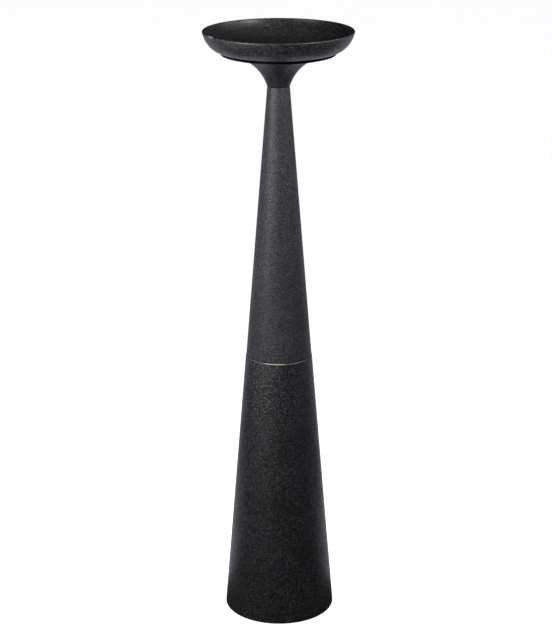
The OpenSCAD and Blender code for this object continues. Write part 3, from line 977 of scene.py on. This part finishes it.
# %% [markdown]
# ## The setting
#
# The floor is a large pale sheet that is lit from above and glows a little, like white
# acrylic over a lamp, so it stays even and keeps only a soft shadow. A dark coat shows
# mostly what it reflects. So a dark card, which a studio calls a flag, lies under the
# holder and in front of it: it keeps the glow of the floor off the front of the column, and
# the rest of the floor still draws a bright edge down each side. Two side cards reach
# further back, so that the bright edges stay narrow, and they stop short of the foot. The
# camera looks through all three. Seen from below, the floor is clear and shows the felt.

# %% A helper for sheets on the floor
def lay_sheet(name, middle, width, depth, height):
    """A flat sheet on the floor, which is not part of the holder."""
    bm = bmesh.new()
    bmesh.ops.create_grid(bm, x_segments=1, y_segments=1, size=0.5)
    bmesh.ops.scale(bm, vec=(width, depth, 1), verts=bm.verts)
    bmesh.ops.translate(bm, vec=(middle[0], middle[1], height), verts=bm.verts)
    mesh = bpy.data.meshes.new(name)
    bm.to_mesh(mesh)
    bm.free()
    sheet = bpy.data.objects.new(name, mesh)
    scene.collection.objects.link(sheet)
    return sheet


# %% Lay the floor
FLOOR_SIDE, FLOOR_HEIGHT = 16.0, -0.0001   # metres: the floor is just under the felt
FLOOR_GLOW, FLOOR_BOUNCE = 0.88, 0.42      # as the camera sees it, and as the holder does
FLOOR_DARK, FLOOR_PALE = (0.87, 0.87, 0.875, 1), (0.89, 0.89, 0.89, 1)
GLOW_SEEN, GLOW_BOUNCED = (1.0, 0.995, 1.0, 1), (0.86, 0.78, 1.0, 1)

studio_floor = lay_sheet("studio_floor", (0, 0), FLOOR_SIDE, FLOOR_SIDE, FLOOR_HEIGHT)
floor_material, tree, shader, place = new_material("floor_paper")
paper = noise(tree, place, 3.0, detail=3.0)
put(tree, shader.inputs["Base Color"], mix_colours(tree, paper, FLOOR_DARK, FLOOR_PALE))
put(tree, shader.inputs["Roughness"],
    ramp(tree, paper, low=0.3, high=0.7, to_low=0.85, to_high=0.95))
shader.inputs["Specular IOR Level"].default_value = 0.0
from_below = tree.nodes.new("ShaderNodeNewGeometry").outputs["Backfacing"]
put(tree, shader.inputs["Alpha"], sums(tree, "SUBTRACT", 1.0, from_below))
seen = tree.nodes.new("ShaderNodeLightPath").outputs["Is Camera Ray"]
put(tree, shader.inputs["Emission Color"], mix_colours(tree, seen, GLOW_BOUNCED, GLOW_SEEN))
put(tree, shader.inputs["Emission Strength"], sums(
    tree, "MULTIPLY_ADD", seen, FLOOR_GLOW - FLOOR_BOUNCE, FLOOR_BOUNCE))
studio_floor.data.materials.append(floor_material)
print("floor laid:", FLOOR_SIDE, "m square")

# %% Lay the flags
CARD_DARK, CARD_PALE = (0.04, 0.04, 0.045, 1), (0.06, 0.06, 0.065, 1)
FLAG_HEIGHT = 0.0005
FLAGS = (("dark_flag", (0, -1.0), 2.6, 2.08),  # name, middle, width and depth in metres
         ("dark_flag_left", (-0.75, 0.20), 1.10, 0.32),
         ("dark_flag_right", (0.75, 0.20), 1.10, 0.32))

flag_material, tree, shader, place = new_material("flag_card")
card = noise(tree, place, 40.0, detail=3.0)
put(tree, shader.inputs["Base Color"], mix_colours(tree, card, CARD_DARK, CARD_PALE))
shader.inputs["Roughness"].default_value = 0.9
for name, middle, width, depth in FLAGS:
    flag = lay_sheet(name, middle, width, depth, FLAG_HEIGHT)
    flag.data.materials.append(flag_material)
    flag.visible_camera = False
    flag.visible_shadow = False
print("flags laid:", len(FLAGS))

# %% [markdown]
# Three soft boxes light the holder. The key box is on the left, close by, with its middle
# just below the rim: it draws the long highlight down the left of the column, which fades
# towards the foot, and it leaves the bottom of the dish dark. The right box hangs above the
# rim, so it also reaches the far wall inside the dish, and the side box fills in the
# column's right edge. A wide, weak sun from straight above keeps the floor even.

# %% Helpers for lights
def round_the_holder(side_degrees, distance, height):
    """A place round the holder. Zero degrees is the front and the right is positive."""
    side = math.radians(side_degrees)
    return math.sin(side) * distance, -math.cos(side) * distance, height


def soft_box(name, place, aim_height, width, height, watts, colour=(1, 1, 1)):
    """A rectangular lamp that faces a height on the holder's axis. Sizes are in metres."""
    data = bpy.data.lights.new(name, "AREA")
    data.shape = "RECTANGLE"
    data.size, data.size_y = width, height
    data.energy = watts
    data.color = colour
    lamp = bpy.data.objects.new(name, data)
    lamp.location = place
    way = Vector((0, 0, aim_height)) - Vector(place)
    lamp.rotation_euler = way.to_track_quat("-Z", "Y").to_euler()
    lamp.visible_camera = False
    scene.collection.objects.link(lamp)
    print(f"{name}: {watts} W, {width} by {height} m")


# %% Hang the lights
soft_box("key_box", round_the_holder(-48, 0.44, 0.48), aim_height=0.26,
         width=0.17, height=0.26, watts=3.2)
soft_box("right_box", round_the_holder(50, 0.48, 0.70), aim_height=0.46,
         width=0.15, height=0.15, watts=2.2)
soft_box("side_box", round_the_holder(86, 0.56, 0.58), aim_height=0.46,
         width=0.16, height=0.16, watts=1.0, colour=(0.95, 0.93, 1.0))

SUN_STRENGTH, SUN_SPREAD_DEG = 0.3, 70
sun_data = bpy.data.lights.new("overhead_sun", "SUN")
sun_data.energy = SUN_STRENGTH
sun_data.angle = math.radians(SUN_SPREAD_DEG)
scene.collection.objects.link(bpy.data.objects.new("overhead_sun", sun_data))
print("overhead_sun:", SUN_STRENGTH)

# %% [markdown]
# The backdrop is white where the camera sees it, and gives the holder next to no light, so
# that nothing washes its dark coat out. Standard colours keep blacks black and the floor
# white.

# %% Fill in the backdrop
BACKDROP_FILL, BACKDROP_SEEN_MORE = 0.02, 0.97   # for the holder, and on top for the camera

world = bpy.data.worlds.new("studio")
scene.world = world
world.use_nodes = True
tree = world.node_tree
backdrop = tree.nodes["Background"]
backdrop.inputs["Color"].default_value = (1, 1, 1, 1)
seen = tree.nodes.new("ShaderNodeLightPath").outputs["Is Camera Ray"]
put(tree, backdrop.inputs["Strength"], sums(
    tree, "MULTIPLY_ADD", seen, BACKDROP_SEEN_MORE, BACKDROP_FILL))
scene.view_settings.view_transform = "Standard"
scene.view_settings.look = "None"
print("colours:", scene.view_settings.view_transform)
